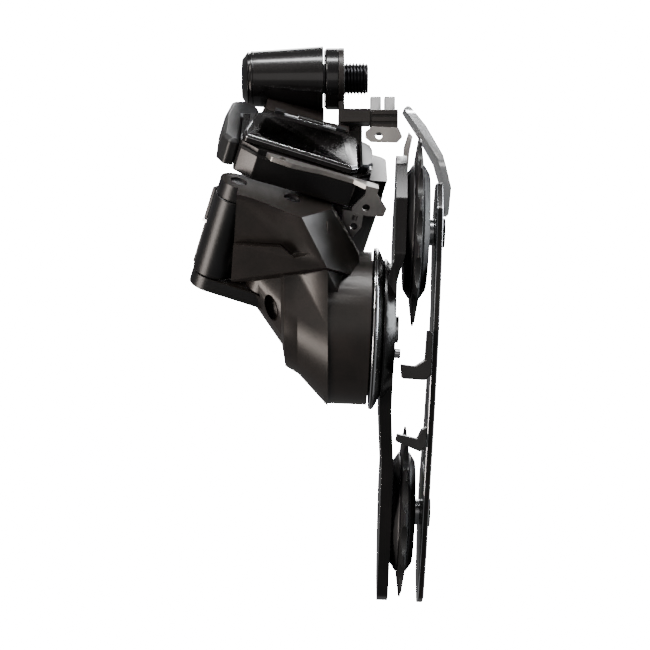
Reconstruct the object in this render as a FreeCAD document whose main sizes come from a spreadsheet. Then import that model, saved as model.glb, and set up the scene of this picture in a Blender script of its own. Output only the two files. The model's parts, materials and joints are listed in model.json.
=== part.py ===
import FreeCAD, Part
import math
import os
import Sketcher
from FreeCAD import Placement, Rotation, Vector

# Rear bicycle derailleur, battery powered.  Millimetres, +Z up.
# The origin lies on the mounting bolt's axis where its shoulder meets the frame's hanger.
# +X points inboard along the thread, and -Y points to the front of the bicycle.

SIZES = {
    "thread_radius": 5.0,
    "thread_length": 7.3,
    "thread_end": 8.1,
    "thread_tip_radius": 4.2,
    "shank_radius": 4.5,
    "shank_start": -25.2,
    "head_start": -27.2,
    "head_radius": 6.2,
    "hex_depth": 5.0,
    "collar_radius": 9.45,
    "collar_bore": 4.55,
    "plate_bore": 5.1,
    "collar_start": -5.9,
    "collar_end": -1.8,
    "collar_edge": 9.0,
    "barrel_start": -27.7,
    "barrel_end": -6.4,
    "barrel_small_radius": 8.5,
    "barrel_large_radius": 10.0,
    "barrel_bore": 6.5,
    "cap_start": -31.3,
    "cap_face_radius": 5.95,
    "cap_radius": 8.6,
    "spring_ring_radius": 5.75,
    "spring_wire_radius": 0.5,
    "link_length": 42.0,
    "link_pin_radius": 2.5,
    "link_top": -25.5,
    "link_bottom": -50.0,
    "link_eye_radius": 5.6,
    "ear_bottom": -54.6,
    "bay_top": -11.2,
    "bay_step": -12.6,
    "bay_bottom": -19.6,
    "door_thickness": 2.0,
    "window_thickness": 0.8,
    "drum_radius": 22.7,
    "drum_width": 5.7,
    "hub_radius": 24.0,
    "axle_radius": 4.0,
    "plate_thickness": 2.0,
    "pulley_plane": 12.8,
    "pulley_tooth_width": 2.2,
    "guide_tip_radius": 28.3,
    "guide_root_radius": 22.6,
    "guide_teeth": 13,
    "guide_cover_radius": 20.0,
    "tension_tip_radius": 26.3,
    "tension_root_radius": 20.6,
    "tension_teeth": 12,
    "tension_cover_radius": 18.4,
    "pulley_bore": 4.0,
    "sleeve_bore": 2.5,
    "pulley_bolt_radius": 2.45,
}

doc = FreeCAD.newDocument("rear_derailleur")
sheet = doc.addObject("Spreadsheet::Sheet", "sizes")
for row, (alias, number) in enumerate(SIZES.items(), start=1):
    sheet.set("A%d" % row, alias)
    sheet.set("B%d" % row, str(number))
    sheet.setAlias("B%d" % row, alias)
doc.recompute()

# Frames.  The shifting linkage lies in a tilted frame: its pivot pins point along the frame's z.
# The cage's frame leans a little about Y, and its x is the cage's pivot axis.
LINKAGE = Placement(Vector(0, 0, 0), Rotation(Vector(1, 0, 0), 26) * Rotation(Vector(0, 1, 0), 17))
CAGE = Placement(Vector(7.3, -20.0, -76.5), Rotation(Vector(0, 1, 0), 2.2))
WORLD = Placement()

REAR_OUTER = (-1.4, -19.0)
REAR_INNER = (14.5, -20.4)
LINK_REST = math.radians(-35.0)
LINK_STEP = (SIZES["link_length"] * math.sin(LINK_REST), -SIZES["link_length"] * math.cos(LINK_REST))
FRONT_OUTER = (REAR_OUTER[0] + LINK_STEP[0], REAR_OUTER[1] + LINK_STEP[1])
FRONT_INNER = (REAR_INNER[0] + LINK_STEP[0], REAR_INNER[1] + LINK_STEP[1])
GUIDE = (4.0, 29.3)
TENSION = (26.0, -56.25)

ALONG_X = Rotation(Vector(0, 1, 0), 90)
ALONG_Y = Rotation(Vector(1, 0, 0), -90)
ALONG_Z = Rotation()

nodes = []


def keep(piece, label):
    """Name a finished sub-part and list it as a node."""
    piece.Label = label
    nodes.append(piece)
    return piece


def value(size):
    """A size is a plain number or the name of a cell."""
    if isinstance(size, str):
        return SIZES[size]
    return size


def bind(owner, path, size):
    """Tie a property to its cell when the size is a cell's name."""
    if isinstance(size, str):
        owner.setExpression(path, "sizes." + size)


def cylinder(frame, point, turn, radius, length):
    """A cylinder that starts at a point of a frame and runs along the turned z."""
    piece = doc.addObject("Part::Cylinder", "cylinder")
    piece.Radius = value(radius)
    piece.Height = value(length)
    bind(piece, "Radius", radius)
    bind(piece, "Height", length)
    piece.Placement = frame * Placement(Vector(*point), turn)
    return piece


def block(frame, low, high):
    """A box between two corners of a frame."""
    piece = doc.addObject("Part::Box", "block")
    piece.Length = high[0] - low[0]
    piece.Width = high[1] - low[1]
    piece.Height = high[2] - low[2]
    piece.Placement = frame * Placement(Vector(*low), Rotation())
    return piece


def fuse(pieces):
    piece = doc.addObject("Part::MultiFuse", "fuse")
    piece.Shapes = pieces
    piece.Refine = True
    return piece


def cut(base, tool):
    piece = doc.addObject("Part::Cut", "cut")
    piece.Base = base
    piece.Tool = tool
    piece.Refine = True
    return piece


def common(pieces):
    piece = doc.addObject("Part::MultiCommon", "common")
    piece.Shapes = pieces
    piece.Refine = True
    return piece


def group(pieces):
    """Equal or paired solids that share one node."""
    piece = doc.addObject("Part::Compound", "group")
    piece.Links = pieces
    return piece


def origin_plane(body, role):
    return [plane for plane in body.Origin.OriginFeatures if plane.Role == role][0]


def add_sketch(body, role, offset=0.0):
    """A sketch on one of the body's own origin planes, moved along the plane's normal."""
    sketch = body.newObject("Sketcher::SketchObject", "sketch")
    sketch.AttachmentSupport = (origin_plane(body, role), [""])
    sketch.MapMode = "FlatFace"
    sketch.AttachmentOffset = Placement(Vector(0, 0, value(offset)), Rotation())
    bind(sketch, "AttachmentOffset.Base.z", offset)
    return sketch


def draw_outline(sketch, points):
    """A closed line through the points, each held by its two distances from the sketch's origin."""
    first = sketch.GeometryCount
    count = len(points)
    places = [Vector(value(across), value(up), 0) for across, up in points]
    for index in range(count):
        sketch.addGeometry(Part.LineSegment(places[index], places[(index + 1) % count]))
    for index in range(count):
        line = first + index
        following = first + (index + 1) % count
        sketch.addConstraint(Sketcher.Constraint("Coincident", line, 2, following, 1))
        for kind, size in zip(("DistanceX", "DistanceY"), points[index]):
            number = sketch.addConstraint(Sketcher.Constraint(kind, -1, 1, line, 1, value(size)))
            bind(sketch, "Constraints[%d]" % number, size)


def draw_circle(sketch, centre, radius):
    place = Vector(centre[0], centre[1], 0)
    circle = sketch.addGeometry(Part.Circle(place, Vector(0, 0, 1), value(radius)))
    number = sketch.addConstraint(Sketcher.Constraint("Radius", circle, value(radius)))
    bind(sketch, "Constraints[%d]" % number, radius)


def turned(profile, frame=WORLD):
    """A body turned about the frame's x from (along, radius) points."""
    body = doc.addObject("PartDesign::Body", "turned")
    sketch = add_sketch(body, "XY_Plane")
    draw_outline(sketch, profile)
    feature = body.newObject("PartDesign::Revolution", "revolution")
    feature.Profile = sketch
    feature.ReferenceAxis = (sketch, ["H_Axis"])
    feature.Angle = 360
    body.Placement = frame
    return body


def padded(outline, start, length, frame=WORLD, role="XY_Plane", holes=(), corner=0.0, rim=0.0):
    """A body padded from an outline, with round holes, rounded corners and a bevelled far rim."""
    body = doc.addObject("PartDesign::Body", "padded")
    sketch = add_sketch(body, role, start)
    draw_outline(sketch, outline)
    for centre, radius in holes:
        draw_circle(sketch, centre, radius)
    pad = body.newObject("PartDesign::Pad", "pad")
    pad.Profile = sketch
    pad.Length = value(length)
    bind(pad, "Length", length)
    body.Placement = frame
    if corner:
        doc.recompute()
        normal = plane_normal(role)
        edges = corner_edges(pad.Shape, normal)
        fillet = body.newObject("PartDesign::Fillet", "fillet")
        fillet.Base = (pad, edges)
        fillet.Radius = corner
        pad = fillet
    if rim:
        doc.recompute()
        far = far_face(pad.Shape, plane_normal(role))
        chamfer = body.newObject("PartDesign::Chamfer", "chamfer")
        chamfer.Base = (pad, [far])
        chamfer.Size = rim
    return body


def plane_normal(role):
    return {"XY_Plane": Vector(0, 0, 1), "XZ_Plane": Vector(0, -1, 0), "YZ_Plane": Vector(1, 0, 0)}[role]


def corner_edges(shape, normal):
    """Names of the straight edges along the normal, which are the outline's corners."""
    names = []
    for number, edge in enumerate(shape.Edges, start=1):
        if edge.Curve.TypeId != "Part::GeomLine":
            continue
        if abs(abs(edge.Curve.Direction.dot(normal)) - 1.0) > 1e-6:
            continue
        names.append("Edge%d" % number)
    return names


def far_face(shape, normal):
    """Name of the flat face that lies furthest along the normal."""
    best = max(range(len(shape.Faces)), key=lambda index: shape.Faces[index].CenterOfMass.dot(normal))
    return "Face%d" % (best + 1)


def capsule(frame, start, end, radius, low, high):
    """A flat bar with round ends between two points of the frame's xy plane."""
    run = Vector(end[0] - start[0], end[1] - start[1], 0)
    angle = math.degrees(math.atan2(run.y, run.x))
    turn = Placement(Vector(start[0], start[1], low), Rotation(Vector(0, 0, 1), angle))
    bar = block(frame * turn, (0, -radius, 0), (run.Length, radius, high - low))
    ends = [cylinder(frame, (*point, low), ALONG_Z, radius, high - low) for point in (start, end)]
    return fuse([bar] + ends)


# Mount: everything that stays still against the hanger.

def make_mounting_bolt():
    bolt = turned([
        ("head_start", 0), ("thread_end", 0), ("thread_end", "thread_tip_radius"),
        ("thread_length", "thread_radius"), (0, "thread_radius"), (0, "shank_radius"),
        ("shank_start", "shank_radius"), ("shank_start", "head_radius"), ("head_start", "head_radius")])
    flats = [(3.0 / math.cos(math.pi / 6) * math.cos(turn), 3.0 / math.cos(math.pi / 6) * math.sin(turn))
             for turn in [math.radians(60 * step) for step in range(6)]]
    socket = padded(flats, "head_start", "hex_depth", role="YZ_Plane")
    keep(cut(bolt, socket), "mounting_bolt")


def make_hanger_collar():
    keep(turned([
        ("collar_start", "collar_bore"), ("collar_end", "collar_bore"), ("collar_end", "collar_radius"),
        (-5.4, "collar_radius"), ("collar_start", "collar_edge")]), "hanger_collar")


def make_stop_plate():
    ring = turned([("collar_end", "plate_bore"), (0, "plate_bore"), (0, "collar_radius"),
                   ("collar_end", "collar_radius")])
    skirt = block(WORLD, (-1.8, -7.0, -14.0), (0.0, 7.0, -7.6))
    tab = block(WORLD, (-1.8, -7.0, -14.0), (7.9, 7.0, -9.8))
    keep(fuse([ring, skirt, tab]), "stop_plate")


def make_adjuster_bracket():
    lug = padded([(-6.0, -9.9), (6.0, -9.9), (6.0, -17.0), (-6.0, -16.2)], 7.9, 8.4, role="YZ_Plane",
                 corner=1.0)
    ribs = [block(WORLD, (8.3, -6.8, top - 1.2), (16.1, -5.8, top)) for top in (-10.4, -12.5, -14.6)]
    keep(fuse([lug] + ribs), "adjuster_bracket")


def make_adjuster_plate():
    outline = [(6.3, -17.0), (8.3, -15.4), (16.4, -15.8), (17.6, -18.6), (16.0, -20.3), (8.0, -20.1),
               (6.3, -18.8)]
    plate = padded(outline, 6.9, 1.2, role="XZ_Plane", holes=[((10.4, -18.2), 1.0)], corner=0.6)
    keep(plate, "adjuster_plate")


def make_hanger_fins():
    fins = [block(WORLD, (left, 9.6, -9.9), (left + 3.4, 15.0, -4.2)) for left in (8.2, 12.6)]
    foot = block(WORLD, (8.2, 6.0, -13.0), (16.0, 15.0, -9.9))
    keep(fuse(fins + [foot]), "hanger_fins")


# B-knuckle: the bracket that swings on the bolt and carries the battery, the motor and the links.

def pin_bores(radius, points, low, high):
    return [cylinder(LINKAGE, (x, y, low), ALONG_Z, radius, high - low) for x, y in points]


def swing_room():
    """The space round the bolt that the mount's tab and adjuster need as the bracket swings."""
    return turned([(-6.2, 0), (40.0, 0), (40.0, 22.4), (6.0, 22.4), (6.0, 16.6), (-6.2, 16.6)])


def make_bracket_body():
    barrel = turned([
        ("barrel_start", 0), ("barrel_end", 0), ("barrel_end", "barrel_large_radius"),
        ("barrel_start", "barrel_small_radius")])
    web = padded([(-22.8, -21.1), (4.5, -21.1), (4.5, -3.0), (-21.0, -1.5)], "bay_bottom", 6.9, LINKAGE,
                 corner=2.0)
    web_top = padded([(-21.6, -18.2), (4.5, -18.2), (4.5, -3.0), (-21.0, -1.5)], -12.8, 2.8, LINKAGE,
                     corner=2.0)
    ear_outline = [(-7.0, -24.5), (-1.0, -25.2), (14.5, -26.4), (19.6, -23.5), (19.6, -4.0), (-7.0, -4.0)]
    top_ear = padded(ear_outline, -25.2, 5.6, LINKAGE, corner=2.0)
    bottom_ear = padded(ear_outline, "ear_bottom", 4.3, LINKAGE, corner=2.0)
    spine = block(LINKAGE, (-7.0, -12.4, -50.4), (19.6, -4.0, -25.1))
    screw_arm = block(WORLD, (-1.8, 0.0, -25.5), (5.8, 19.0, -20.6))
    screw_boss = block(WORLD, (-1.8, 14.6, -25.5), (5.8, 19.0, -9.4))
    solid = fuse([barrel, web, web_top, top_ear, bottom_ear, spine, screw_arm, screw_boss])
    bore = cylinder(WORLD, (-28.0, 0, 0), ALONG_X, "barrel_bore", 22.0)
    cavity = block(LINKAGE, (-4.0, -10.6, -46.0), (16.6, -3.0, -24.0))
    bores = pin_bores("link_pin_radius", (REAR_OUTER, REAR_INNER), -54.0, -20.5)
    screw_bore = cylinder(WORLD, (2.0, 10.0, -12.8), ALONG_Y, 1.55, 12.0)
    keep(cut(solid, fuse([bore, swing_room(), cavity, screw_bore] + bores)), "bracket_body")


def make_axle_end_cap():
    keep(turned([("cap_start", 0), ("barrel_start", 0), ("barrel_start", "cap_radius"),
                 (-28.6, "cap_radius"), (-28.6, 8.1), (-29.3, 8.1), (-29.3, "cap_radius"),
                 ("cap_start", "cap_face_radius")]), "axle_end_cap")


def make_axle_bushings():
    rings = [turned([(start, "collar_bore"), (start + 5.0, "collar_bore"), (start + 5.0, "barrel_bore"),
                     (start, "barrel_bore")]) for start in (-25.1, -11.4)]
    keep(group(rings), "axle_bushings")


def make_ring(frame, along, ring_radius, wire_radius):
    ring = doc.addObject("Part::Torus", "ring")
    ring.Radius1 = value(ring_radius)
    ring.Radius2 = value(wire_radius)
    bind(ring, "Radius1", ring_radius)
    bind(ring, "Radius2", wire_radius)
    ring.Placement = frame * Placement(Vector(along, 0, 0), ALONG_X)
    return ring


def make_axle_spring():
    coils = [make_ring(WORLD, -19.2 + 1.2 * step, "spring_ring_radius", "spring_wire_radius")
             for step in range(6)]
    keep(group(coils), "axle_spring")


BAY_OUTLINE = [(-28.0, -24.0), (-23.0, -21.2), (7.0, -21.2), (11.4, -28.0), (11.4, -43.0), (7.0, -49.6),
               (-22.5, -49.6), (-28.0, -46.0)]
BAY_INSIDE = [(-26.0, -23.0), (9.4, -23.0), (9.4, -43.0), (6.5, -47.6), (-22.0, -47.6), (-26.0, -45.0)]


def make_battery_bay():
    upper = padded(BAY_OUTLINE, "bay_step", 1.4, LINKAGE, corner=1.5)
    skirt = [(x, y - 2.4 if y < -45 else y) for x, y in BAY_OUTLINE]
    lower = padded(skirt, "bay_bottom", 7.0, LINKAGE, corner=1.5)
    room = padded(BAY_INSIDE, -17.8, 8.0, LINKAGE, corner=1.0)
    keep(cut(fuse([upper, lower]), fuse([room, swing_room()])), "battery_bay")


def make_battery():
    pack = padded([(-25.6, -24.0), (-6.0, -24.0), (-6.0, -46.8), (-21.5, -46.8), (-25.6, -44.0)], -17.7,
                  6.4, LINKAGE, corner=1.2)
    keep(pack, "battery_pack")
    pins = [cylinder(LINKAGE, (-6.0, y, -14.5), ALONG_X, 0.7, 1.6) for y in (-38.0, -34.0, -30.0)]
    keep(group(pins), "battery_contacts")
    keep(block(LINKAGE, (-4.4, -46.0, -17.6), (-3.2, -24.0, -11.8)), "contact_board")


def make_drive():
    motor = cylinder(LINKAGE, (5.2, -44.0, -14.6), ALONG_Y, 2.9, 10.0)
    keep(motor, "drive_motor")
    keep(block(LINKAGE, (-1.6, -33.9, -17.7), (9.0, -23.4, -11.6)), "gearbox_case")


def make_rear_link_pins():
    keep(group(pin_bores("link_pin_radius", (REAR_OUTER, REAR_INNER), -54.0, -20.5)), "rear_link_pins")


def make_side_shoulder():
    outline = [(-28.1, -46.0), (-31.0, -46.6), (-33.2, -43.0), (-33.2, -27.0), (-31.6, -14.0),
               (-28.0, -11.0), (-23.1, -14.0), (-23.1, -20.9), (-28.1, -23.9)]
    keep(padded(outline, "bay_bottom", 8.0, LINKAGE, corner=1.2, rim=1.0), "side_shoulder")


def make_tether_plate():
    outline = [(-20.5, -49.7), (13.2, -50.3), (13.4, -53.8), (9.6, -53.8), (6.0, -51.9), (-3.4, -51.9),
               (-12.5, -53.6), (-18.5, -52.6)]
    plate = padded(outline, -12.5, 1.3, LINKAGE, holes=[((-15.3, -51.4), 0.9)], corner=0.5)
    leg_outline = [(9.8, -11.2), (13.2, -11.2), (13.4, -13.0), (17.4, -16.6), (17.2, -19.0), (12.4, -20.2),
                   (7.6, -19.8), (8.6, -17.4), (10.2, -14.2)]
    leg = padded(leg_outline, 52.6, 1.2, LINKAGE, role="XZ_Plane", holes=[((11.6, -17.8), 1.1)], corner=0.5)
    keep(fuse([plate, leg]), "tether_plate")


def make_electronics():
    keep(block(LINKAGE, (-3.0, -9.9, -45.0), (15.6, -8.7, -27.0)), "control_board")
    cover = block(LINKAGE, (-3.9, -5.6, -45.9), (16.5, -4.1, -25.3))
    holes = [cylinder(LINKAGE, (2.0, -6.0, -36.0), ALONG_Y, 2.3, 3.0),
             cylinder(LINKAGE, (10.0, -6.0, -36.0), ALONG_Y, 1.4, 3.0)]
    keep(cut(cover, fuse(holes)), "electronics_cover")
    keep(cylinder(LINKAGE, (10.0, -6.6, -36.0), ALONG_Y, 1.4, 2.6), "status_lens")
    corners = [(x, z) for x in (-1.6, 14.2) for z in (-43.6, -27.6)]
    keep(group([cylinder(LINKAGE, (x, -4.1, z), ALONG_Y, 1.3, 0.9) for x, z in corners]), "cover_screws")


def make_mode_button():
    keep(cylinder(LINKAGE, (2.0, -5.9, -36.0), ALONG_Y, 2.2, 2.8), "mode_button")


def make_door_hinge_pin():
    keep(cylinder(LINKAGE, (-19.0, -20.2, -9.6), ALONG_X, 0.8, 22.0), "door_hinge_pin")


# Battery door.

DOOR_OUTLINE = [
    (-27.6, -43.5), (-27.0, -47.4), (4.6, -49.4), (6.8, -47.0), (6.8, -24.8), (4.0, -22.4), (-21.6, -22.4),
    (-24.6, -26.0)]
WINDOW_OUTLINE = [(-23.6, -43.0), (-22.0, -45.0), (1.8, -46.6), (3.6, -44.6), (3.6, -28.2), (1.6, -26.0),
                  (-18.6, -26.0), (-21.4, -28.6)]


def make_battery_door():
    panel = padded(DOOR_OUTLINE, -10.7, "door_thickness", LINKAGE, corner=0.8, rim=0.7)
    recess = padded(WINDOW_OUTLINE, -9.6, 3.0, LINKAGE, corner=0.6)
    knuckle = cylinder(LINKAGE, (-12.0, -20.2, -9.6), ALONG_X, 1.45, 8.0)
    arm = block(LINKAGE, (-12.0, -23.0, -10.6), (-4.0, -20.2, -9.0))
    bore = cylinder(LINKAGE, (-20.0, -20.2, -9.6), ALONG_X, 0.85, 30.0)
    keep(cut(cut(fuse([panel, knuckle, arm]), recess), bore), "door_panel")
    keep(padded(WINDOW_OUTLINE, -9.6, "window_thickness", LINKAGE, corner=0.6), "door_window")
    seal = padded(BAY_INSIDE, -11.1, 0.4, LINKAGE, corner=1.0)
    seal_inside = padded([(x * 0.93, y + 1.0 if y < -36 else y - 1.0) for x, y in BAY_INSIDE], -12.0, 2.0,
                         LINKAGE)
    limit = block(LINKAGE, (-27.0, -48.0, -11.2), (6.4, -22.8, -10.6))
    keep(cut(common([seal, limit]), seal_inside), "door_seal")


def make_door_hinge_lugs():
    lugs = [block(LINKAGE, (start, -21.15, -12.0), (start + 3.0, -19.0, -8.4)) for start in (-19.0, 0.0)]
    bore = cylinder(LINKAGE, (-20.0, -20.2, -9.6), ALONG_X, 0.8, 30.0)
    keep(cut(fuse(lugs), bore), "door_hinge_lugs")


def make_latch():
    lever = padded([(7.3, -46.6), (9.6, -45.0), (11.2, -42.0), (11.2, -30.0), (9.8, -27.0), (7.3, -26.0)],
                   -10.7, 2.3, LINKAGE, corner=0.6, rim=0.5)
    bore = cylinder(LINKAGE, (10.2, -50.0, -9.5), ALONG_Y, 0.65, 30.0)
    keep(cut(lever, bore), "door_latch")
    keep(cylinder(LINKAGE, (10.2, -46.4, -9.5), ALONG_Y, 0.6, 20.0), "latch_pin")


# Links.

def along_link(start, distance, side):
    """A point at a distance along a link from its rear pivot, and to its outer side."""
    run = (LINK_STEP[0] / SIZES["link_length"], LINK_STEP[1] / SIZES["link_length"])
    return (start[0] + run[0] * distance + run[1] * side, start[1] + run[1] * distance - run[0] * side)


def link_slab(start, distances, sides, low, high):
    """A slab beside a link, between two distances along it and two distances to its outer side."""
    corners = [along_link(start, distances[0], sides[0]), along_link(start, distances[1], sides[0]),
               along_link(start, distances[1], sides[1]), along_link(start, distances[0], sides[1])]
    return padded(corners, low, high - low, LINKAGE)


def link_bushings(points, low, high):
    rings = []
    for x, y in points:
        for start in (low, high - 4.0):
            outer = cylinder(LINKAGE, (x, y, start), ALONG_Z, 3.6, 4.0)
            inner = cylinder(LINKAGE, (x, y, start - 1.0), ALONG_Z, 2.55, 6.0)
            rings.append(cut(outer, inner))
    return group(rings)


def link_body(rear, front, low, high):
    """A link's bar with its eyes bored for bushings and pins."""
    bar = capsule(LINKAGE, rear, front, SIZES["link_eye_radius"], low, high)
    tools = pin_bores(2.75, (rear, front), low - 1.0, high + 1.0)
    for x, y in (rear, front):
        tools.append(cylinder(LINKAGE, (x, y, low - 1.0), ALONG_Z, 3.6, 5.0))
        tools.append(cylinder(LINKAGE, (x, y, high - 4.0), ALONG_Z, 3.6, 5.0))
    return cut(bar, fuse(tools))


def make_outer_link():
    low, high = SIZES["link_bottom"], SIZES["link_top"]
    keep(link_body(REAR_OUTER, FRONT_OUTER, low, high), "outer_link")
    keep(link_slab(REAR_OUTER, (10.0, 43.5), (5.65, 7.0), low + 14.2, high), "outer_link_cover")
    keep(link_slab(REAR_OUTER, (10.0, 43.5), (5.65, 7.2), low + 13.3, low + 14.15), "link_trim_ring")
    keep(link_slab(REAR_OUTER, (12.0, 43.0), (5.65, 6.6), low, low + 13.25), "outer_link_guard")
    keep(link_bushings((REAR_OUTER, FRONT_OUTER), low, high), "outer_link_bushings")


def make_inner_link():
    low, high = SIZES["link_bottom"], SIZES["link_top"]
    keep(link_body(REAR_INNER, FRONT_INNER, low, high), "inner_link")
    keep(link_bushings((REAR_INNER, FRONT_INNER), low, high), "inner_link_bushings")
    upper = padded([(2.0, -37.0), (8.4, -40.6), (12.0, -45.6), (10.6, -47.0), (6.6, -44.4), (0.6, -39.4)],
                   -25.4, 1.6, LINKAGE, corner=0.5)
    tongue = padded([(6.4, -23.4), (12.4, -22.0), (13.2, -27.0), (11.6, -31.0), (7.6, -29.0)], 44.9, 1.5,
                    LINKAGE, role="XZ_Plane", holes=[((10.9, -27.4), 1.1)], corner=0.5)
    keep(fuse([upper, tongue]), "link_bracket")


# P-knuckle: the body that carries the cage.

def half_space_cut(frame, point, normal):
    """A large block that lies beyond a plane, used to cut one facet."""
    turn = Rotation(Vector(0, 0, 1), Vector(*normal))
    big = doc.addObject("Part::Box", "beyond")
    big.Length = 240
    big.Width = 240
    big.Height = 120
    big.Placement = frame * Placement(Vector(*point), turn) * Placement(Vector(-120, -120, 0), Rotation())
    return big


def arc_points(centre, radius, start, end, count):
    """Points on an arc, angles in degrees."""
    turns = [math.radians(start + (end - start) * step / (count - 1)) for step in range(count)]
    return [(centre[0] + radius * math.cos(turn), centre[1] + radius * math.sin(turn)) for turn in turns]


def faceted(solid, facets):
    """A solid cut back to the inner side of each (point, outward normal) plane."""
    return cut(solid, fuse([half_space_cut(WORLD, point, normal) for point, normal in facets]))


def make_knuckle_head():
    """The broad upper block, which holds the links' front pins."""
    rough = block(WORLD, (-33.0, -57.0, -63.0), (4.0, -8.0, -26.0))
    return faceted(rough, [
        ((-12.9, -52.8, -44.5), (-0.12, -0.87, -0.47)),
        ((-9.6, -49.8, -51.0), (0.75, -0.55, 0.12)),
        ((0.2, -35.0, -48.6), (0.88, -0.20, 0.42)),
        ((-32.4, -40.0, -58.3), (-0.995, 0.0, 0.09)),
        ((-30.0, -42.0, -62.0), (0.07, -0.25, -0.96))])


# The nose's cross-sections: x, then the middle (y, z) and the radius of each one's round underside.
NOSE_SECTIONS = [(-5.1, -20.3, -76.5, 23.1), (-13.8, -23.4, -72.3, 17.6), (-17.6, -24.2, -71.0, 16.6),
                 (-18.6, -24.6, -66.4, 14.8), (-26.4, -25.6, -57.6, 12.2), (-32.4, -26.4, -51.0, 8.6)]


def make_knuckle_nose():
    """The lower part, which tapers outboard from the drum and covers the cage's spring."""
    rings = []
    for x, y, z, radius in NOSE_SECTIONS:
        rim = arc_points((y, z), radius, 180, 360, 25) + [(y + radius, -46.0), (y - radius, -46.0)]
        rings.append([Vector(x, side, height) for side, height in rim])
    loops = [rings[0], rings[-1]]
    for near, far in zip(rings, rings[1:]):
        for index in range(len(near)):
            loops.append([near[index - 1], near[index], far[index], far[index - 1]])
    nose = doc.addObject("Part::Feature", "nose")
    faces = [Part.Face(Part.makePolygon(loop + loop[:1])) for loop in loops]
    nose.Shape = Part.makeSolid(Part.makeShell(faces))
    return nose


def make_knuckle_body():
    drum_root = cylinder(CAGE, (-12.7, 0, 0), ALONG_X, "drum_radius", 7.0)
    drum = cylinder(CAGE, (-5.9, 0, 0), ALONG_X, "drum_radius", "drum_width")
    neck = faceted(block(WORLD, (-12.0, -48.0, -76.0), (1.8, -24.0, -40.0)), [
        ((-5.3, -43.2, -60.0), (0.60, -0.80, 0.0)),
        ((-5.3, -43.2, -60.0), (0.75, -0.55, 0.12)),
        ((-5.3, -43.2, -60.0), (-0.12, -0.87, -0.47)),
        ((0.2, -35.0, -48.6), (0.88, -0.20, 0.42))])
    pocket = padded([(-45.0, 20.0), (-45.0, -48.0), (-33.0, -60.6), (-19.0, -61.4), (-9.6, -61.4),
                     (-3.0, -58.2), (0.6, -50.5), (40.0, -50.5), (40.0, 20.0)], -50.4, 25.2, LINKAGE)
    above = half_space_cut(LINKAGE, (0, 0, -20.7), (0, 0, 1))
    behind_ears = padded([(-45.0, 20.0), (-45.0, -46.6), (-2.0, -47.6), (2.0, -50.5), (40.0, -50.5),
                          (40.0, 20.0)], -50.4, 60.0, LINKAGE)
    under_bracket = block(LINKAGE, (-60.0, -28.6, -55.3), (60.0, 40.0, -10.0))
    body = cut(fuse([make_knuckle_head(), make_knuckle_nose(), neck, drum_root]),
               fuse([pocket, above, behind_ears, under_bracket]))
    top_ear = capsule(LINKAGE, FRONT_OUTER, FRONT_INNER, 5.4, -25.2, -20.7)
    bottom_ear = capsule(LINKAGE, FRONT_OUTER, FRONT_INNER, 5.4, -54.4, -50.4)
    bores = pin_bores("link_pin_radius", (FRONT_OUTER, FRONT_INNER), -54.0, -20.0)
    spring_room = cylinder(CAGE, (-19.0, 0, 0), ALONG_X, 10.5, 14.0)
    axle_room = cylinder(CAGE, (-23.2, 0, 0), ALONG_X, 6.0, 30.0)
    keep(cut(fuse([body, drum, top_ear, bottom_ear]), fuse(bores + [spring_room, axle_room])),
         "p_knuckle_body")
    keep(group(pin_bores("link_pin_radius", (FRONT_OUTER, FRONT_INNER), -54.0, -21.2)), "front_link_pins")


def make_knuckle_inside():
    coils = [make_ring(CAGE, -17.6 + 2.5 * step, 8.6, 1.1) for step in range(5)]
    keep(group(coils), "cage_spring")
    rings = [turned([(start, 4.05), (start + 4.0, 4.05), (start + 4.0, 6.0), (start, 6.0)], CAGE)
             for start in (-21.8, -4.3)]
    keep(group(rings), "cage_axle_bushings")
    keep(turned([(-0.15, 18.2), (0.15, 18.2), (0.15, 20.0), (-0.15, 20.0)], CAGE), "drum_seal")


# Cage.

def make_hub_disc():
    keep(turned([(0.4, 4.0), (3.6, 4.0), (3.6, 20.0), (2.4, 22.6), (1.6, "hub_radius"),
                 (0.4, "hub_radius")], CAGE), "hub_disc")


def make_cage_axle():
    keep(turned([(-22.6, 0), (8.6, 0), (8.6, 4.0), (-21.9, "axle_radius"), (-22.6, 3.4)], CAGE),
         "cage_axle")


def wheel_centre_bore(low, high):
    return [cylinder(CAGE, (low, *centre), ALONG_X, "pulley_bolt_radius", high - low)
            for centre in (GUIDE, TENSION)]


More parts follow.
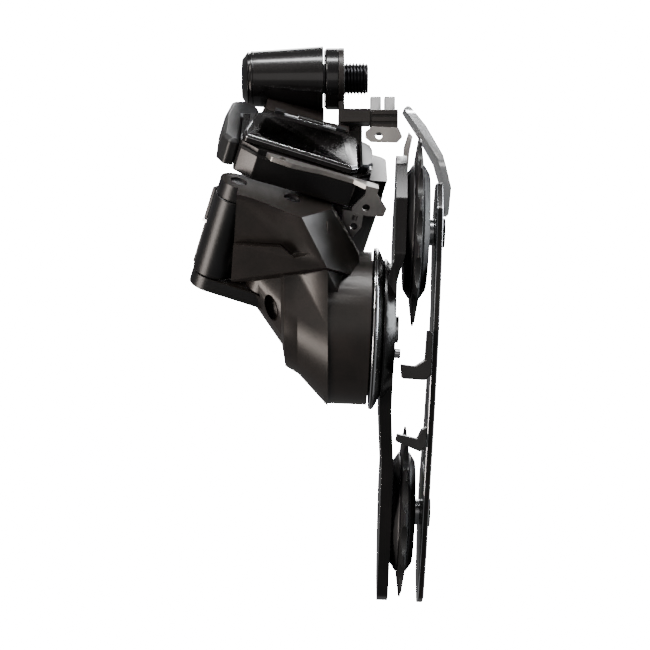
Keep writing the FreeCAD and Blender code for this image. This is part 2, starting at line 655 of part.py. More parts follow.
def make_outer_plate():
    hub = turned([(3.7, 4.0), (7.2, 4.0), (7.2, 17.4), (4.3, 20.8), (3.7, 20.8)], CAGE)
    arm_shape = padded([(-14.0, 6.0), (-16.6, 22.0), (-14.0, 38.0), (-6.0, 48.6), (4.0, 52.0), (11.0, 50.0),
                        (7.0, 42.0), (14.5, 34.0), (15.5, 24.0), (10.0, 12.0), (13.0, 0.0), (8.0, -10.0),
                        (-6.0, -14.0), (-13.0, -8.0)], 2.0, 9.0, CAGE, role="YZ_Plane", corner=2.5)
    arm_side = padded([(6.0, 56.0), (9.2, 56.0), (9.2, 22.0), (7.2, 14.0), (7.2, -16.0), (3.7, -16.0),
                       (3.7, 12.0), (6.0, 20.0)], -30.0, 60.0, CAGE, role="XZ_Plane")
    leg_shape = padded([(-9.0, -9.0), (1.0, -30.0), (6.0, -50.0), (12.0, -68.0), (20.0, -82.0),
                        (27.0, -84.4), (36.0, -78.0), (40.0, -64.0), (38.0, -50.0), (28.0, -38.0),
                        (18.0, -22.0), (12.0, 2.0)], 2.0, 9.0, CAGE, role="YZ_Plane", corner=3.0)
    leg_side = padded([(3.7, 2.0), (7.2, 2.0), (7.4, -24.0), (8.7, -40.0), (9.3, -86.0), (5.9, -86.0),
                       (5.2, -40.0), (3.7, -24.0)], -60.0, 90.0, CAGE, role="XZ_Plane")
    plate = fuse([hub, common([arm_shape, arm_side]), common([leg_shape, leg_side])])
    slot = padded([(13.0, -44.0), (10.0, -38.0), (9.0, -28.0), (13.0, -28.0), (18.0, -36.0), (19.0, -42.0)],
                  0.0, 14.0, CAGE, role="YZ_Plane")
    axle = cylinder(CAGE, (0.0, 0, 0), ALONG_X, "axle_radius", 14.0)
    keep(cut(plate, fuse([slot, axle] + wheel_centre_bore(0.0, 14.0))), "outer_cage_plate")


def make_inner_plate():
    outline = [(-7.0, 36.0), (0.0, 44.0), (10.0, 44.0), (16.0, 36.0), (16.0, 22.0), (10.0, 8.0),
               (14.0, -10.0), (24.0, -30.0), (38.0, -46.0), (41.0, -62.0), (37.0, -77.0), (27.0, -84.6),
               (19.0, -82.0), (11.0, -66.0), (4.0, -44.0), (-4.0, -22.0), (-9.0, 0.0), (-10.0, 20.0)]
    plate = padded(outline, 18.2, "plate_thickness", CAGE, role="YZ_Plane", corner=3.0)
    slot = padded([(11.0, -44.0), (6.0, -30.0), (2.0, -14.0), (6.0, -12.0), (14.0, -28.0), (19.0, -40.0)],
                  16.0, 6.0, CAGE, role="YZ_Plane")
    keep(cut(plate, fuse([slot] + wheel_centre_bore(16.0, 24.0))), "inner_cage_plate")


def make_chain_guard():
    band = padded([(20.3, 35.0), (22.6, 35.0), (22.9, 43.0), (20.0, 52.6), (14.8, 61.4), (9.4, 68.0),
                   (8.0, 66.6), (13.0, 59.8), (18.4, 51.4), (20.5, 44.6)], -30.0, 32.0, CAGE,
                  role="XZ_Plane")
    outline = padded([(6.0, 34.0), (2.0, 50.0), (9.0, 68.0), (24.0, 68.0), (29.0, 50.0), (20.0, 34.0)], 5.0,
                     20.0, CAGE, role="YZ_Plane", corner=5.0)
    leg = padded([(10.6, 62.0), (9.2, 57.0), (9.0, 46.6), (9.6, 37.6), (10.6, 46.0), (11.2, 56.0),
                  (12.0, 60.4)], -33.6, 2.0, CAGE, role="XZ_Plane")
    keep(common([band, outline]), "upper_chain_guard")
    keep(leg, "guard_leg")


def make_guide_tab():
    upright = padded([(16.5, 0.2), (18.15, -0.6), (18.15, -12.6), (16.4, -14.4), (9.6, -14.2), (9.2, -10.0),
                      (13.4, -10.4), (16.2, -8.4)], 6.0, 9.0, CAGE, role="XZ_Plane")
    keep(upright, "chain_guide_tab")


def make_lower_tab():
    keep(padded([(9.4, -31.0), (9.0, -33.2), (16.4, -36.0), (18.15, -34.0), (18.15, -28.6), (16.6, -29.4),
                 (15.4, -32.2)], -6.0, 7.0, CAGE, role="XZ_Plane"), "lower_guard_tab")


def make_pulley_fasteners():
    bolts = []
    nuts = []
    for y, z in (GUIDE, TENSION):
        start = 5.9 if z > 0 else 5.2
        shank = cylinder(CAGE, (start, y, z), ALONG_X, "pulley_bolt_radius", 21.2 - start)
        head = cylinder(CAGE, (20.25, y, z), ALONG_X, 4.4, 1.2)
        bolts.append(fuse([shank, head]))
        sleeve = cylinder(CAGE, (9.5, y, z), ALONG_X, 3.95, 8.5)
        hole = cylinder(CAGE, (9.0, y, z), ALONG_X, "sleeve_bore", 10.0)
        nuts.append(cut(sleeve, hole))
    keep(group(bolts), "pulley_bolts")
    keep(group(nuts), "pulley_sleeves")


def make_stop_pin():
    keep(cylinder(CAGE, (7.2, -11.0, -7.0), ALONG_X, 1.4, 1.8), "cage_stop_pin")


# Pulleys.

def make_pulley(label, centre, tip, root, teeth, cover):
    """A toothed wheel and its two cover discs on one hub."""
    frame = CAGE * Placement(Vector(SIZES["pulley_plane"], centre[0], centre[1]), Rotation())
    half = SIZES["pulley_tooth_width"] / 2
    blank = turned([(-half, SIZES[cover] - 4.0), (half, SIZES[cover] - 4.0), (half, root), (0.25, tip),
                    (-0.25, tip), (-half, root)], frame)
    gaps = []
    for tooth in range(SIZES[teeth]):
        turn = math.radians(360.0 / SIZES[teeth] * (tooth + 0.5))
        reach = SIZES[tip] + 0.6
        gaps.append(cylinder(frame, (-3.0, reach * math.cos(turn), reach * math.sin(turn)), ALONG_X, 4.9,
                             6.0))
    hub = turned([(-3.3, "pulley_bore"), (3.3, "pulley_bore"), (3.3, 9.0), (half, 9.6),
                  (half, SIZES[cover] - 4.0), (-half, SIZES[cover] - 4.0), (-half, 9.6), (-3.3, 9.0)],
                 frame)
    wheel = cut(blank, fuse(gaps))
    keep(fuse([wheel, hub]), label)
    covers = []
    for side in (-1, 1):
        covers.append(turned([(side * (half + 0.01), 9.8), (side * 3.4, 9.4),
                              (side * 3.4, SIZES[cover] - 2.6), (side * (half + 0.6), cover),
                              (side * (half + 0.01), cover)], frame))
    keep(group(covers), label + "_covers")


def make_tension_screw():
    body = cylinder(WORLD, (2.0, 7.3, -12.8), ALONG_Y, 1.5, 13.0)
    head = cylinder(WORLD, (2.0, 19.4, -12.8), ALONG_Y, 2.6, 2.4)
    keep(fuse([body, head]), "tension_screw")


make_mounting_bolt()
make_hanger_collar()
make_stop_plate()
make_adjuster_bracket()
make_adjuster_plate()
make_hanger_fins()
make_bracket_body()
make_axle_end_cap()
make_axle_bushings()
make_axle_spring()
make_battery_bay()
make_battery()
make_drive()
make_rear_link_pins()
make_side_shoulder()
make_tether_plate()
make_electronics()
make_mode_button()
make_door_hinge_pin()
make_door_hinge_lugs()
make_battery_door()
make_latch()
make_outer_link()
make_inner_link()
make_knuckle_body()
make_knuckle_inside()
make_hub_disc()
make_cage_axle()
make_outer_plate()
make_inner_plate()
make_chain_guard()
make_guide_tab()
make_lower_tab()
make_pulley_fasteners()
make_stop_pin()
make_tension_screw()
make_pulley("guide_pulley", GUIDE, "guide_tip_radius", "guide_root_radius", "guide_teeth",
            "guide_cover_radius")
make_pulley("tension_pulley", TENSION, "tension_tip_radius", "tension_root_radius", "tension_teeth",
            "tension_cover_radius")
doc.recompute()

for item in doc.Objects:
    if "Invalid" in item.State or "Error" in item.State:
        raise RuntimeError("%s (%s) did not build" % (item.Label, item.Name))
for node in nodes:
    if node.Shape.isNull() or not node.Shape.isValid():
        raise RuntimeError("%s has no valid shape" % node.Label)

os.makedirs("parts", exist_ok=True)
for node in nodes:
    node.Shape.exportStep("parts/%s.step" % node.Label)
    print(node.Label, len(node.Shape.Solids), round(node.Shape.Volume, 1))
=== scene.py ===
import json
import math

import bmesh
import bpy
from mathutils import Matrix, Vector


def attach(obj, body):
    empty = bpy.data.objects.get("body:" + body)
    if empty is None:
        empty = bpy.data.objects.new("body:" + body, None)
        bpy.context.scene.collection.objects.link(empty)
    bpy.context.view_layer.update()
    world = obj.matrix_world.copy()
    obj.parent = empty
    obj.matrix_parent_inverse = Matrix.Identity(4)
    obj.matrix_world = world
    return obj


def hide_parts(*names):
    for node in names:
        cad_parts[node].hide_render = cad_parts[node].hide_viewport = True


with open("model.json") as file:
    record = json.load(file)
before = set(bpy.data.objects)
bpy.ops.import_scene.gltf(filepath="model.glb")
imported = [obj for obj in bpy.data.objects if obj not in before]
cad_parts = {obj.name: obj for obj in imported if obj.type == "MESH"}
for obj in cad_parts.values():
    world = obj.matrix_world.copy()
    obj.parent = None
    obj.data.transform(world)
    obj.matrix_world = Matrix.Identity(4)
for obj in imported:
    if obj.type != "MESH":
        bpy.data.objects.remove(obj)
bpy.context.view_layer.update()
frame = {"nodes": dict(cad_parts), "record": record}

# ---------------------------------------------------------------- sizes, in millimetres unless a line says otherwise

MM = 0.001

# The linkage's pins point along the z of a tilted frame.  The cage turns about the x of another.
PIVOT_TILT = math.radians(26)
PIVOT_LEAN = math.radians(17)
CAGE_LEAN = math.radians(2.2)
LINKAGE = Matrix.Rotation(PIVOT_TILT, 3, "X") @ Matrix.Rotation(PIVOT_LEAN, 3, "Y")
COVER_AXIS = LINKAGE @ Vector((0, 1, 0))
CAGE_AXIS = Matrix.Rotation(CAGE_LEAN, 3, "Y") @ Vector((1, 0, 0))

# Meshes: points this near are one, faces this flat are one, and edges this sharp are rounded.
WELD = 0.004
FLAT = math.radians(0.6)
CREASE = math.radians(32)

# The bracket's barrel: how far it reaches from the bolt's axis, and how much its side faces may point along
# that axis, as the x of their unit normals.
BARREL_REACH = 10.8
BARREL_SIDE = 0.5

# The bolt's M10 x 1 thread, from the shoulder to a chamfered end.  Its profile is (along the axis, radius).
THREAD_START = 0.0
THREAD_END = 7.3
THREAD_PITCH = 1.0
THREAD_CREST = 5.0
THREAD_ROOT = 4.35
THREAD_PROFILE = [(0.0, THREAD_ROOT), (0.35, THREAD_ROOT), (0.80, THREAD_CREST), (0.95, THREAD_CREST),
                  (THREAD_PITCH, THREAD_ROOT)]
THREAD_CHAMFER = 0.7
THREAD_OVERLAP = 0.02
THREAD_WELD = 0.01
THREAD_STEPS = 48
SPARE_TURNS = 2

# The knuckle's scoop: the plane of the head's front (point, normal), its rim and its smaller floor as (x, z).
HEAD_FRONT = ((-12.9, -52.8, -44.5), (-0.12, -0.87, -0.47))
SCOOP_RIM = [(-40.0, -35.5), (-25.5, -38.3), (-21.3, -39.8), (-17.4, -42.6), (-14.6, -46.8),
             (-12.0, -51.4), (-9.8, -55.4), (-14.6, -56.6), (-18.0, -53.6), (-40.0, -52.2)]
SCOOP_FLOOR = [(-40.0, -38.0), (-26.6, -40.6), (-23.4, -42.4), (-20.4, -45.2), (-17.8, -48.6),
               (-15.6, -52.2), (-14.4, -54.6), (-15.4, -55.6), (-18.6, -52.8), (-40.0, -51.6)]
SCOOP_DEPTH = 3.2

# The knuckle's oval pocket: its plane, and a leaning ellipse about (x, z) that narrows towards the floor.
POCKET_PLANE = ((-21.4, -37.5, -71.0), (-0.50, -0.80, -0.30))
POCKET_X, POCKET_Z = -21.4, -70.6
POCKET_HALF_WIDTH = 1.9
POCKET_HALF_HEIGHT = 4.0
POCKET_SLANT = 0.9
POCKET_NARROWS = (0.75, 0.8)
POCKET_DEPTH = 5.5
POCKET_POINTS = 28

CUTTER_FRONT = -70.0
CUTTER_RIM_GAP = 0.05
# Knuckle faces left of this x take the darker copy of the blasted finish, which is painted shade.
EAR_SHADE_LIMIT = -30.5

WASHER_RADIUS = 8.7
WASHER_THICKNESS = 0.32
WASHER_X = -6.07

# The widths of the rounded edges on the pieces with work of their own.
CASTING_EDGE = 0.35
KNUCKLE_EDGE = 0.6
WASHER_EDGE = 0.05
SOCKET_EDGE = 0.15

# The hexagon sockets, as (radius, depth).  Points this near to a screw's end belong to its end face.
PULLEY_SOCKET = (2.3, 0.8)
COVER_SOCKET = (0.75, 0.6)
TIP_BAND = 0.05

# The studio: places and sizes in metres, power in watts.  Each lamp is (name, place, size, power, colour).
MIDDLE = (0.0, -0.01, -0.07)
LAMPS = [
    ("key", (-0.50, -0.60, 0.55), (0.35, 0.35), 8.0, (1.0, 0.95, 0.90)),
    ("top", (-0.02, -0.22, 0.55), (0.50, 0.10), 5.0, (1, 1, 1)),
    ("rim", (0.55, 0.10, 0.15), (0.20, 0.60), 6.0, (0.92, 0.96, 1.0)),
    ("low", (-0.52, -0.30, -0.30), (0.28, 0.30), 4.5, (1.0, 0.90, 0.83)),
    ("card", (-0.12, -0.85, 0.02), (0.70, 0.40), 0.7, (1.0, 0.96, 0.93)),
    ("back", (0.10, 0.60, 0.30), (0.50, 0.40), 8.0, (1, 1, 1)),
]
SURROUND_AS_LIT = 0.20
SURROUND_AS_SEEN = 24.0
CAMERA_PLACE = (-0.0059, -0.6, -0.0755)
CAMERA_LENS = 108.34
FLOOR_SIZE = 6.0
FLOOR_HEIGHT = -0.40
FLOOR_GLOW = 22.0

# Every material's slow colour change and fine grain.
COLOUR_STOPS = (0.35, 0.68)
GRAIN_SPAN = (0.3, 0.7)
GRAIN_RELIEF = 0.1
LEAST_ROUGHNESS = 0.02
COAT_ROUGHNESS = 0.06


# ---------------------------------------------------------------- camera, light and floor

def make_camera():
    camera = bpy.data.cameras.new("camera")
    camera.sensor_width = 36.0
    camera.lens = CAMERA_LENS
    camera.clip_start = 0.01
    holder = bpy.data.objects.new("camera", camera)
    holder.location = CAMERA_PLACE
    holder.rotation_euler = (math.radians(90), 0, 0)
    bpy.context.collection.objects.link(holder)
    bpy.context.scene.camera = holder


def make_light(name, place, size, power, colour):
    light = bpy.data.lights.new(name, "AREA")
    light.shape = "RECTANGLE"
    light.size = size[0]
    light.size_y = size[1]
    light.energy = power
    light.color = colour
    holder = bpy.data.objects.new(name, light)
    holder.location = place
    aim = Vector(MIDDLE) - Vector(place)
    holder.rotation_euler = aim.to_track_quat("-Z", "Y").to_euler()
    bpy.context.collection.objects.link(holder)


def make_studio():
    for lamp in LAMPS:
        make_light(*lamp)
    world = bpy.data.worlds.new("studio")
    bpy.context.scene.world = world
    world.use_nodes = True
    tree = world.node_tree
    # The eye sees a bright white surround, and the object is lit by a much dimmer one.
    seen = add(tree, "ShaderNodeLightPath")
    level = add(tree, "ShaderNodeMapRange", inputs={"To Min": SURROUND_AS_LIT, "To Max": SURROUND_AS_SEEN},
                links={"Value": (seen, "Is Camera Ray")})
    background = tree.nodes["Background"]
    background.inputs["Color"].default_value = (1, 1, 1, 1)
    tree.links.new(level.outputs["Result"], background.inputs["Strength"])


def make_floor():
    bm = bmesh.new()
    bmesh.ops.create_grid(bm, x_segments=1, y_segments=1, size=FLOOR_SIZE)
    bmesh.ops.translate(bm, verts=bm.verts, vec=(0, 0, FLOOR_HEIGHT))
    floor = temporary(bm, "floor")
    floor.data.materials.append(light_table())
    floor.visible_diffuse = False
    floor.visible_glossy = False


# ---------------------------------------------------------------- materials

def srgb(code):
    """An sRGB hex colour as linear RGBA."""
    channels = [int(code[start:start + 2], 16) / 255 for start in (1, 3, 5)]
    linear = [c / 12.92 if c <= 0.04045 else ((c + 0.055) / 1.055) ** 2.4 for c in channels]
    return (*linear, 1.0)


def add(tree, kind, settings=None, inputs=None, links=None):
    """Adds a node, sets its options and input values, and links its inputs from other nodes' outputs."""
    made = tree.nodes.new(kind)
    for key, setting in (settings or {}).items():
        setattr(made, key, setting)
    for key, setting in (inputs or {}).items():
        made.inputs[key].default_value = setting
    for key, (source, output) in (links or {}).items():
        tree.links.new(source.outputs[output], made.inputs[key])
    return made


def surface(name, dark, light, roughness, metallic=0.0, grain_mm=0.3, bump=0.05, rough_spread=0.02,
            coat=0.0, patch_mm=9.0):
    """A shader with a slow change of colour, a fine grain that varies the gloss, and a grain bump."""
    material = bpy.data.materials.new(name)
    material.use_nodes = True
    tree = material.node_tree
    shader = tree.nodes["Principled BSDF"]
    shader.inputs["Metallic"].default_value = metallic
    shader.inputs["Coat Weight"].default_value = coat
    shader.inputs["Coat Roughness"].default_value = COAT_ROUGHNESS
    place = add(tree, "ShaderNodeTexCoord")
    patches = add(tree, "ShaderNodeTexNoise", inputs={"Scale": 1 / (patch_mm * MM), "Detail": 3.0},
                  links={"Vector": (place, "Object")})
    grain = add(tree, "ShaderNodeTexNoise", inputs={"Scale": 1 / (grain_mm * MM), "Detail": 2.0},
                links={"Vector": (place, "Object")})
    colour = add(tree, "ShaderNodeValToRGB", links={"Fac": (patches, "Fac")})
    for element, position, code in zip(colour.color_ramp.elements, COLOUR_STOPS, (dark, light)):
        element.position = position
        element.color = srgb(code)
    tree.links.new(colour.outputs["Color"], shader.inputs["Base Color"])
    gloss = add(tree, "ShaderNodeMapRange",
                inputs={"From Min": GRAIN_SPAN[0], "From Max": GRAIN_SPAN[1],
                        "To Min": max(LEAST_ROUGHNESS, roughness - rough_spread),
                        "To Max": roughness + rough_spread},
                links={"Value": (grain, "Fac")})
    tree.links.new(gloss.outputs["Result"], shader.inputs["Roughness"])
    relief = add(tree, "ShaderNodeBump", inputs={"Strength": bump, "Distance": GRAIN_RELIEF * MM},
                 links={"Height": (grain, "Fac")})
    tree.links.new(relief.outputs["Normal"], shader.inputs["Normal"])
    return material


def light_table():
    # Opal acrylic sheet lit from below: an even, nearly white ground.
    material = surface("lit_opal_acrylic", "#EDEDED", "#F4F4F3", 0.85, grain_mm=4.0, bump=0.02,
                       patch_mm=300.0)
    shader = material.node_tree.nodes["Principled BSDF"]
    shader.inputs["Emission Color"].default_value = srgb("#FDFDFC")
    shader.inputs["Emission Strength"].default_value = FLOOR_GLOW
    return material


# Bead-blasted and black anodised aluminium: matt, nearly black, with a fine grain and a warm cast.
blasted = surface("bead_blasted_black_anodised_aluminium", "#1B1816", "#26211F", 0.36, 0.25,
                  grain_mm=0.25, bump=0.10, rough_spread=0.04)
# The same blasting made darker, with no warm cast, as painted shade: the outer link, its covers, the knuckle's ears.
painted_shade_blasted = surface("bead_blasted_black_aluminium_painted_shade", "#0C0C0D", "#151517", 0.36, 0.30, grain_mm=0.25,
                bump=0.08)
# Machined and black anodised aluminium: smoother, a sharper highlight.
machined = surface("machined_black_anodised_aluminium", "#0D0C0C", "#171515", 0.26, 0.30, grain_mm=0.5,
                   bump=0.008, rough_spread=0.01)
# Diamond-cut edge through black anodising: bare bright aluminium along the chamfers.
cut_edge = surface("diamond_cut_aluminium_edge", "#C9CACD", "#E2E3E6", 0.18, 1.0, grain_mm=0.2, bump=0.02)
# Polished black anodised aluminium: the glossy barrel, collar and end cap.
glossy = surface("polished_black_anodised_aluminium", "#0B0A0A", "#121112", 0.24, 0.30, grain_mm=0.8,
                 bump=0.004, rough_spread=0.01, coat=0.35)
# Polished bright aluminium.
bright = surface("polished_aluminium", "#E2E4E6", "#F6F7F8", 0.24, 1.0, grain_mm=0.6, bump=0.006)
# Tumbled aluminium with a satin grey anodic skin.
satin = surface("satin_anodised_aluminium", "#8F8C8A", "#A9A6A2", 0.34, 0.9, grain_mm=0.2, bump=0.06)
# Hardened and ground steel.
ground = surface("ground_hardened_steel", "#8B8C8F", "#A6A7AA", 0.25, 1.0, grain_mm=0.3, bump=0.04)
# Black oxide on machined steel: dark, slightly oily shine.
oxide = surface("black_oxide_steel", "#121214", "#1E1E21", 0.30, 0.8, grain_mm=0.3, bump=0.05)
# Glass-filled nylon, injection moulded: dark, soft sheen and a spark-eroded grain.
nylon = surface("moulded_glass_filled_nylon", "#101011", "#19191A", 0.46, grain_mm=0.35, bump=0.12)
# Smoked polycarbonate, injection moulded, with a deep gloss.
smoked = surface("smoked_polycarbonate", "#2A2523", "#4A423E", 0.12, grain_mm=2.0, bump=0.001,
                 rough_spread=0.004, coat=1.0, patch_mm=24.0)
# Moulded nitrile rubber seal.
rubber = surface("moulded_nitrile_rubber", "#0B0B0B", "#151515", 0.70, grain_mm=0.4, bump=0.10)
# Sintered bronze, porous and oil-filled.
bronze = surface("sintered_bronze", "#7A5A33", "#A07A45", 0.45, 0.9, grain_mm=0.2, bump=0.20)
# Solder-masked fibreglass board.
board = surface("solder_masked_fibreglass", "#0F3B22", "#1B5A34", 0.30, grain_mm=0.7, bump=0.10)
# Gold flash over nickel on the contacts.
gold = surface("gold_flashed_contact", "#B98A2E", "#DDB45A", 0.22, 1.0, grain_mm=0.3, bump=0.02)
# Pale acrylic light pipe, moulded and glossy.
acrylic = surface("clear_acrylic_light_pipe", "#8FA39A", "#B4C4BC", 0.10, grain_mm=0.6, bump=0.01,
                  coat=0.6)


# ---------------------------------------------------------------- making pieces


def body_of(node):
    for body, members in frame["record"]["behaviour"]["bodies"].items():
        if node in members:
            return body


def smooth(mesh):
    for face in mesh.polygons:
        face.use_smooth = True
    mesh.set_sharp_from_angle(angle=CREASE)


def finish_piece(bm, name, body, materials, replaced, edge, edge_material=-1, segments=2):
    """Turns a bmesh in metres into a riding piece with rounded edges."""
    mesh = bpy.data.meshes.new(name)
    bm.to_mesh(mesh)
    bm.free()
    smooth(mesh)
    piece = bpy.data.objects.new(name, mesh)
    bpy.context.collection.objects.link(piece)
    for material in materials:
        mesh.materials.append(material)
    if edge:
        bevel = piece.modifiers.new("edges", "BEVEL")
        bevel.width = edge * MM
        bevel.segments = segments
        bevel.limit_method = "ANGLE"
        bevel.angle_limit = CREASE
        bevel.harden_normals = True
        bevel.material = edge_material
    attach(piece, body)
    if replaced:
        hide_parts(*replaced)


def finished(bm, node, material, edge, edge_material=None):
    """A node's shape with its sharp edges rounded, as a tool and a tumbling barrel leave them."""
    materials = [material] + ([edge_material] if edge_material else [])
    finish_piece(bm, node + "_finished", body_of(node), materials, (node,), edge,
                 1 if edge_material else -1)


def dress(node, material):
    """Gives a node that keeps its own mesh its material."""
    for slot in frame["nodes"][node].material_slots:
        slot.material = material


def cleaned(bm):
    """The bmesh with double points welded and the edges between flat faces taken out."""
    bmesh.ops.remove_doubles(bm, verts=bm.verts, dist=WELD * MM)
    bmesh.ops.dissolve_limit(bm, angle_limit=FLAT, verts=bm.verts, edges=bm.edges)
    return bm


def merged(node):
    """A node's own shape as a bmesh with no needless edges."""
    bm = bmesh.new()
    bm.from_mesh(frame["nodes"][node].data)
    return cleaned(bm)


def temporary(bm, name):
    """A plain object made from a bmesh, which is used up."""
    mesh = bpy.data.meshes.new(name)
    bm.to_mesh(mesh)
    bm.free()
    holder = bpy.data.objects.new(name, mesh)
    bpy.context.collection.objects.link(holder)
    return holder


def carved(bm, tools):
    """The shape with each tool cut from it.  All the bmeshes are used up."""
    base = temporary(bm, "base")
    helpers = [base]
    for tool in tools:
        bmesh.ops.recalc_face_normals(tool, faces=tool.faces)
        helpers.append(temporary(tool, "tool"))
        cut = base.modifiers.new("cut", "BOOLEAN")
        cut.operation = "DIFFERENCE"
        cut.solver = "EXACT"
        cut.object = helpers[-1]
    mesh = bpy.data.meshes.new_from_object(base.evaluated_get(bpy.context.evaluated_depsgraph_get()))
    result = bmesh.new()
    result.from_mesh(mesh)
    bpy.data.meshes.remove(mesh)
    for helper in helpers:
        bpy.data.meshes.remove(helper.data)
    return cleaned(result)


def lofted(loops):
    """A closed bmesh in metres through loops of points, each with the same number of points."""
    bm = bmesh.new()
    rings = [[bm.verts.new([value * MM for value in point]) for point in loop] for loop in loops]
    bm.faces.new(rings[0])
    bm.faces.new(rings[-1])
    for near, far in zip(rings, rings[1:]):
        for index, corner in enumerate(near):
            following = (index + 1) % len(near)
            bm.faces.new((corner, near[following], far[following], far[index]))
    bmesh.ops.recalc_face_normals(bm, faces=bm.faces)
    return bm


def scoop(rim, floor, plane, depth):
    """A cutter along y: its rim lies on a plane, and its floor lies deeper by a depth."""
    point, normal = plane

    def on_plane(x, z):
        return point[1] - (normal[0] * (x - point[0]) + normal[2] * (z - point[2])) / normal[1]

    return lofted([[(x, CUTTER_FRONT, z) for x, z in rim],
                   [(x, on_plane(x, z) - CUTTER_RIM_GAP, z) for x, z in rim],
                   [(x, on_plane(x, z) + depth, z) for x, z in floor]])


def cut_flat(bm, x, normal):
    """Cuts at a plane across x, takes away the side that the normal points to, and closes the cut."""
    made = bmesh.ops.bisect_plane(bm, geom=bm.verts[:] + bm.edges[:] + bm.faces[:],
                                  plane_co=(x * MM, 0, 0), plane_no=normal, clear_outer=True)
    rim = [item for item in made["geom_cut"] if isinstance(item, bmesh.types.BMEdge)]
    bmesh.ops.holes_fill(bm, edges=rim, sides=0)


def join(bm, other):
    mesh = bpy.data.meshes.new("joined")
    other.to_mesh(mesh)
    other.free()
    bm.from_mesh(mesh)
    bpy.data.meshes.remove(mesh)


def ends_along(node, axis):
    """The centres, in metres, of the ends that a node's separate solids turn towards an axis."""
    bm = merged(node)
    bm.verts.ensure_lookup_table()
    tips = []
    while bm.verts:
        island = {bm.verts[0]}
        waiting = [bm.verts[0]]
        while waiting:
            for edge in waiting.pop().link_edges:
                for vertex in edge.verts:
                    if vertex not in island:
                        island.add(vertex)
                        waiting.append(vertex)
        reach = max(axis.dot(vertex.co) for vertex in island)
        rim = [vertex.co.copy() for vertex in island if axis.dot(vertex.co) > reach - TIP_BAND * MM]
        tips.append(sum(rim, Vector()) / len(rim))
        bmesh.ops.delete(bm, geom=list(island), context="VERTS")
        bm.verts.ensure_lookup_table()
    bm.free()
    return tips


# ---------------------------------------------------------------- the pieces with work of their own

def make_bracket():
    """The bracket's barrel is polished, and the rest of its casting is blasted."""
    bm = merged("bracket_body")
    for face in bm.faces:
        middle = face.calc_center_median()
        if math.hypot(middle.y, middle.z) < BARREL_REACH * MM and abs(face.normal.x) < BARREL_SIDE:
            face.material_index = 1
    finish_piece(bm, "bracket_finished", "b_knuckle", [blasted, glossy],
                 ("bracket_body",), edge=CASTING_EDGE, segments=3)


def make_bolt():
    """The bolt's shank, and its thread as a real helix with a chamfered end."""
    bm = merged("mounting_bolt")
    cut_flat(bm, THREAD_START, (1, 0, 0))
    thread = bmesh.new()
    points = [thread.verts.new(((THREAD_START - THREAD_PITCH + x) * MM, 0, radius * MM))
              for x, radius in THREAD_PROFILE]
    edges = [thread.edges.new(pair) for pair in zip(points, points[1:])]
    turns = math.ceil((THREAD_END - THREAD_START) / THREAD_PITCH) + SPARE_TURNS
    bmesh.ops.spin(thread, geom=points + edges, cent=(0, 0, 0), axis=(1, 0, 0),
                   angle=2 * math.pi * turns, steps=THREAD_STEPS * turns,
                   dvec=(THREAD_PITCH * MM / THREAD_STEPS, 0, 0), use_merge=False)
    bmesh.ops.remove_doubles(thread, verts=thread.verts, dist=THREAD_WELD * MM)
    cut_flat(thread, THREAD_START - THREAD_OVERLAP, (-1, 0, 0))
    cut_flat(thread, THREAD_END, (1, 0, 0))
    for vertex in thread.verts:
        reach = math.hypot(vertex.co.y, vertex.co.z)
        past_chamfer = max(0.0, vertex.co.x / MM - THREAD_END + THREAD_CHAMFER)
        limit = (THREAD_CREST - past_chamfer) * MM
        if reach > limit:
            vertex.co.y *= limit / reach
            vertex.co.z *= limit / reach
    bmesh.ops.recalc_face_normals(thread, faces=thread.faces)
    join(bm, thread)
    finish_piece(bm, "threaded_bolt", "mount", [oxide], ("mounting_bolt",), edge=0)


def make_knuckle():
    """The lower knuckle: its front is scooped out above a ledge, and an oval pocket is milled below."""
    turns = [2 * math.pi * step / POCKET_POINTS for step in range(POCKET_POINTS)]
    pocket = [(POCKET_X + POCKET_HALF_WIDTH * math.cos(turn) - POCKET_SLANT * math.sin(turn),
               POCKET_Z + POCKET_HALF_HEIGHT * math.sin(turn)) for turn in turns]
    pocket_floor = [(POCKET_X + POCKET_NARROWS[0] * (x - POCKET_X),
                     POCKET_Z + POCKET_NARROWS[1] * (z - POCKET_Z)) for x, z in pocket]
    bm = carved(merged("p_knuckle_body"), [scoop(SCOOP_RIM, SCOOP_FLOOR, HEAD_FRONT, SCOOP_DEPTH),
                                           scoop(pocket, pocket_floor, POCKET_PLANE, POCKET_DEPTH)])
    # The faces at the knuckle's left end take the darker blasted copy: painted shade.
    for face in bm.faces:
        if face.calc_center_median().x < EAR_SHADE_LIMIT * MM:
            face.material_index = 1
    finish_piece(bm, "knuckle_finished", "p_knuckle", [blasted, painted_shade_blasted],
                 ("p_knuckle_body",), edge=KNUCKLE_EDGE, segments=3)


def make_washer():
    """A dark thrust washer between the bracket's barrel and the collar."""
    bm = bmesh.new()
    place = Matrix.Translation((WASHER_X * MM, 0, 0)) @ Matrix.Rotation(math.pi / 2, 4, "Y")
    bmesh.ops.create_cone(bm, cap_ends=True, segments=64, radius1=WASHER_RADIUS * MM,
                          radius2=WASHER_RADIUS * MM, depth=WASHER_THICKNESS * MM, matrix=place)
    finish_piece(bm, "thrust_washer", "mount", [nylon], (), edge=WASHER_EDGE)


def make_socketed(node, material, axis, socket):
    """A node's screws, with a hexagon socket sunk into the end that each turns towards the axis."""
    radius, depth = socket
    turned = axis.to_track_quat("Z", "Y").to_matrix().to_4x4()
    tools = []
    for centre in ends_along(node, axis):
        tool = bmesh.new()
        bmesh.ops.create_cone(tool, cap_ends=True, segments=6, radius1=radius * MM, radius2=radius * MM,
                              depth=2 * depth * MM, matrix=Matrix.Translation(centre) @ turned)
        tools.append(tool)
    finished(carved(merged(node), tools), node, material, edge=SOCKET_EDGE)


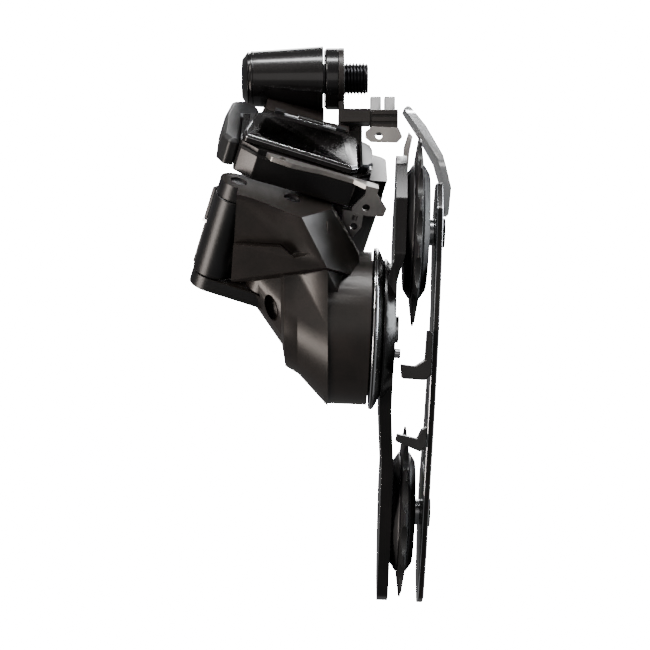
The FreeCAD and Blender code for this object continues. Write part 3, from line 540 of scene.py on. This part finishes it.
# ---------------------------------------------------------------- the finish of every other node

# Rounded nodes: (material, edge width, material of the cut edge, nodes).
ROUNDED = [
    (bright, 0.30, None, ["hanger_fins", "upper_chain_guard"]),
    (blasted, 0.45, None, ["stop_plate", "adjuster_bracket", "inner_link"]),
    # The outer link takes the darker copy of the blasted finish, which is painted shade.
    (painted_shade_blasted, 0.45, None, ["outer_link"]),
    (machined, 0.40, None, ["battery_bay", "chain_guide_tab"]),
    # The outer link's cover and guard also take the painted-shade copy of the blasted finish.
    (painted_shade_blasted, 0.40, None, ["outer_link_cover", "outer_link_guard"]),
    (machined, 0.35, cut_edge, ["inner_cage_plate", "outer_cage_plate", "hub_disc", "door_panel"]),
    (glossy, 0.25, None, ["hanger_collar", "axle_end_cap"]),
    (satin, 0.25, None, ["adjuster_plate", "tether_plate", "link_bracket", "guard_leg"]),
    (nylon, 0.30, None, ["side_shoulder", "electronics_cover", "door_hinge_lugs", "mode_button",
                         "lower_guard_tab", "guide_pulley", "guide_pulley_covers", "tension_pulley",
                         "tension_pulley_covers"]),
    (oxide, 0.20, None, ["door_latch", "tension_screw"]),
    (smoked, 0.15, None, ["door_window"]),
]
# Nodes that keep their own mesh: (material, nodes).
DRESSED = [
    (ground, ["axle_spring", "rear_link_pins", "door_hinge_pin", "latch_pin", "front_link_pins",
              "cage_spring", "cage_axle", "pulley_sleeves", "cage_stop_pin", "drive_motor"]),
    (bright, ["link_trim_ring"]),
    (nylon, ["battery_pack", "gearbox_case"]),
    (rubber, ["door_seal", "drum_seal"]),
    (bronze, ["axle_bushings", "outer_link_bushings", "inner_link_bushings", "cage_axle_bushings"]),
    (board, ["contact_board", "control_board"]),
    (gold, ["battery_contacts"]),
    (acrylic, ["status_lens"]),
]

make_camera()
make_studio()
make_floor()
make_bracket()
make_bolt()
make_knuckle()
make_washer()
make_socketed("pulley_bolts", oxide, CAGE_AXIS, PULLEY_SOCKET)
make_socketed("cover_screws", oxide, COVER_AXIS, COVER_SOCKET)
for finish, width, trim, names in ROUNDED:
    for name in names:
        finished(merged(name), name, finish, width, trim)
for finish, names in DRESSED:
    for name in names:
        dress(name, finish)
